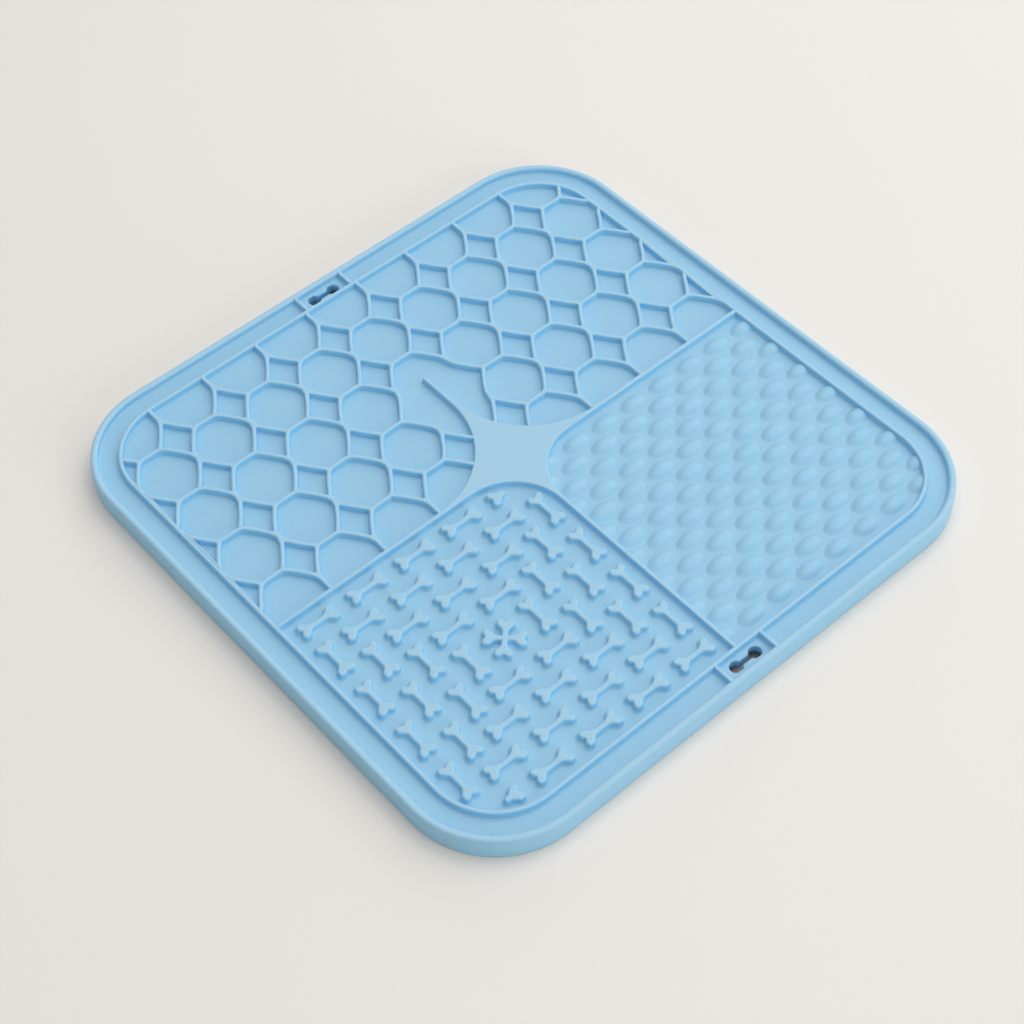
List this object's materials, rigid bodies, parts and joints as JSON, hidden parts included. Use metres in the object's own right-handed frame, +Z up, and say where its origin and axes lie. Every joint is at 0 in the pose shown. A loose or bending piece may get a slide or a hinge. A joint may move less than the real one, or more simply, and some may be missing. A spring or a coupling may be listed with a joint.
{
  "type": "lick mat",
  "caption": "Square silicone lick mat with a raised rim: honeycomb pockets, small raised bones and oval nubs around a flat star, hanging slots at the edges and suction cups underneath.",
  "frame": {"origin": "centre of the mat's outline, on the surface that it lies on", "axes": "+Z up out of the licking side, +Y towards the honeycomb half, +X towards the nubs"},
  "size_m": [0.2, 0.2, 0.0082],
  "materials": {
    "silicone": "satin light blue silicone rubber"
  },
  "bodies": {
    "root": {"base_sheet": "silicone", "outer_rim": "silicone", "border_rib": "silicone", "centre_star": "silicone", "left_divider": "silicone", "right_divider": "silicone", "front_divider": "silicone", "honeycomb_ribs": "silicone", "bone_studs": "silicone", "crossed_bones": "silicone", "oval_nubs": "silicone", "rear_hang_tab": "silicone", "front_hang_tab": "silicone", "suction_cups": "silicone"}
  },
  "joints": []
}
